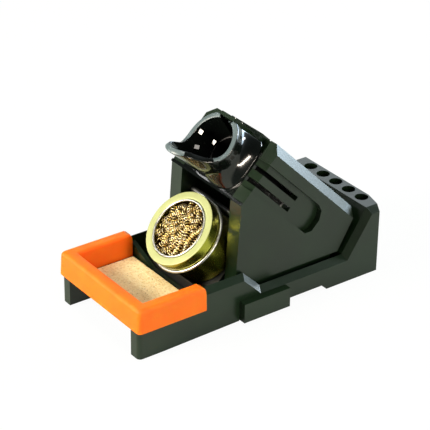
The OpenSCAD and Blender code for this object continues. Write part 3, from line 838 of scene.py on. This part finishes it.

# %% [markdown]
# ## The wool's core
#
# Under the turnings more wool fills the tin, but only a dark glimpse of it shows. So it is one
# cylinder whose top is inset ring by ring and then roughened with noise, in the same brass, which is
# painted dark brown at that depth as painted shade.

# %% Wool core
core_r, core_top, core_low = 24.2, -9.0, -31.2
ring_step, ring_count = 1.5, 15
lump_tall, lump_mm = 1.1, 2.0
core_deep = core_top - core_low
core_sides = {"cap_ends": True, "segments": 96, "radius1": core_r, "radius2": core_r}
build = bmesh.new()
bmesh.ops.create_cone(build, depth=core_deep, **core_sides)
bmesh.ops.translate(build, verts=build.verts, vec=(0, 0, (core_top + core_low) / 2))
top = max(build.faces, key=lambda face: face.calc_center_median().z)
for ring in range(ring_count):
    bmesh.ops.inset_region(build, faces=[top], thickness=ring_step, use_even_offset=True)
for vert in build.verts:
    if vert.co.z > core_top - 1:
        vert.co.z += lump_tall * noise.fractal(vert.co / lump_mm, 1.0, 2.0, 4)
piece("wool_core", build, brass, "tin", on_tin, ("brass_wool",))

# %% [markdown]
# ## The floor
#
# The stand is on a white paper sweep. A floor bright enough to be white would throw too much light
# up at the stand, so the paper's own colour is a mid grey-green, and rays from the camera see nearly
# plain white instead. A small share of the real paper is left in what they see, so that the stand's
# shadow shows. Reflections see about a quarter of the white, which gives the plastics a pale sheen.

# %% Floor
floor_half, paper_white = 3.0, 1.03
white_seen, white_mirrored = 0.93, 0.24
floor_mat, tree, _ = material("white_sweep")
shader = tree.nodes["Principled BSDF"]
wire(tree, shader, {"Base Color": (0.41, 0.46, 0.4, 1), "Roughness": 0.9})
path = add(tree, "LightPath")
paper = add(tree, "Emission", {"Color": (1, 1, 1, 1), "Strength": paper_white})
seen = add(tree, "Math", {0: path.outputs["Is Camera Ray"], 1: white_seen}, operation="MULTIPLY")
mirrored = {0: path.outputs["Is Glossy Ray"], 1: white_mirrored, 2: seen}
share = add(tree, "Math", mirrored, operation="MULTIPLY_ADD")
both = add(tree, "MixShader", {0: share, 1: shader, 2: paper})
wire(tree, tree.nodes["Material Output"], {"Surface": both})
build = bmesh.new()
bmesh.ops.create_grid(build, x_segments=1, y_segments=1, size=floor_half)
mesh = bpy.data.meshes.new("floor")
build.to_mesh(mesh)
build.free()
mesh.materials.append(floor_mat)
floor = bpy.data.objects.new("floor", mesh)
bpy.context.scene.collection.objects.link(floor)
print("floor ready")

# %% [markdown]
# ## The room
#
# Glossy black plastic is nothing but what it mirrors, so the room matters as much as the lamps. It
# is a dim grey that is darker overhead and brighter behind the stand, slightly cool. The camera
# itself sees plain white.

# %% World
by_height = ((0.0, 0.5), (0.15, 0.4), (0.5, 0.26), (0.9, 0.22))
to_the_back = ((0.3, 0.3), (0.62, 0.55), (0.9, 2.2))
multiply = {"data_type": "RGBA", "blend_type": "MULTIPLY"}
world = bpy.data.worlds.new("studio")
bpy.context.scene.world = world
world.use_nodes = True
tree = world.node_tree
split = add(tree, "SeparateXYZ", {"Vector": add(tree, "TexCoord").outputs["Generated"]})
height = add(tree, "ValToRGB", {"Fac": split.outputs["Z"]}, stops=by_height)
behind = add(tree, "ValToRGB", {"Fac": split.outputs["Y"]}, stops=to_the_back)
lit = add(tree, "Mix", {"Factor": 1.0, "A": height, "B": behind}, **multiply)
cool = add(tree, "Mix", {"Factor": 0.5, "A": lit, "B": "b4ccd6"}, **multiply)
around = wire(tree, tree.nodes["Background"], {"Color": cool, "Strength": 1.0})
white = add(tree, "Background", {"Color": (1, 1, 1, 1), "Strength": 1.0})
seen = add(tree, "LightPath").outputs["Is Camera Ray"]
wire(tree, tree.nodes["World Output"], {"Surface": add(tree, "MixShader", {0: seen, 1: around, 2: white})})
print("world ready")

# %% [markdown]
# ## The lamps
#
# On dark gloss every lamp is a shape that shows, so each is a panel of light with a job of its own.
# The key stands in front and high, lights the silicone, the sponge and the lid, and shows in the
# cup's pads. The left strip draws fine lines on front edges, and the right strip a bright streak on
# the cup's side. The top lamp fills the tray. A small window overhead to the left glints in the
# metal and the wool. Three cool ones behind put the pale light on the back edges of the housing and
# on the rack.


# %% Lamps
def lamp(name, spot, aim, size, power, tint):
    """A rectangular soft lamp that faces the point aim."""
    data = bpy.data.lights.new(name, "AREA")
    data.shape = "RECTANGLE"
    data.size, data.size_y = size
    data.energy = power
    data.color = colour(tint)[:3]
    obj = bpy.data.objects.new(name, data)
    obj.location = spot
    obj.rotation_euler = (Vector(aim) - Vector(spot)).to_track_quat("-Z", "Y").to_euler()
    bpy.context.scene.collection.objects.link(obj)


# The name, the place, the aim and the size in metres, the power in watts, and the colour
lamp("key_softbox", (-0.28, -1.35, 0.68), (0, -0.02, 0.04), (0.6, 0.5), 42, "fff4e4")
lamp("left_strip", (-0.95, -0.9, 0.36), (0, -0.02, 0.08), (0.5, 0.1), 4, "ffffff")
lamp("right_strip", (1.45, -0.1, 0.4), (0, -0.02, 0.04), (0.1, 0.8), 15, "fff2e2")
lamp("top_softbox", (0.1, -0.1, 1.4), (0, 0, 0.04), (0.5, 0.5), 6, "fff8ee")
lamp("overhead_window", (-0.84, -0.2, 0.9), (0, 0, 0.06), (0.2, 0.2), 1.5, "ffffff")
lamp("back_strip", (0.0, 1.4, 0.3), (0, 0, 0.06), (1.4, 0.4), 22, "d4ecff")
lamp("back_left_softbox", (-1.15, 1.0, 0.82), (0, 0, 0.05), (0.7, 0.7), 3.4, "eef8ff")
lamp("back_spot", (0.3, 1.3, 0.5), (0, 0, 0.11), (0.12, 0.5), 9, "ffffff")
print("lamps ready")

# %% [markdown]
# ## The camera
#
# The camera is to the front right of the stand and well above it, 1.3 m away with a long lens, so
# that the lines of the stand run together only a little. Its turn is written as the three
# directions to its right, up and back, which is clearer than angles. Depth of field stays off.

# %% Camera
data = bpy.data.cameras.new("camera")
data.lens = 156.75
data.sensor_width = 36
data.clip_start = 0.05
data.clip_end = 20
camera = bpy.data.objects.new("camera", data)
right = Vector((0.58931, 0.80782, 0.01183))
upward = Vector((-0.39759, 0.27722, 0.87468))
backward = Vector((0.70331, -0.52016, 0.48455))
turn = Matrix((right, upward, backward)).transposed().to_4x4()
camera.matrix_world = Matrix.Translation((0.86756, -0.65019, 0.65379)) @ turn
bpy.context.scene.collection.objects.link(camera)
bpy.context.scene.camera = camera
bpy.context.scene.view_settings.view_transform = "Standard"
print("camera ready")

# %% [markdown]
# ## The end
#
# The view layer is brought up to date.

# %% Finish
bpy.context.view_layer.update()
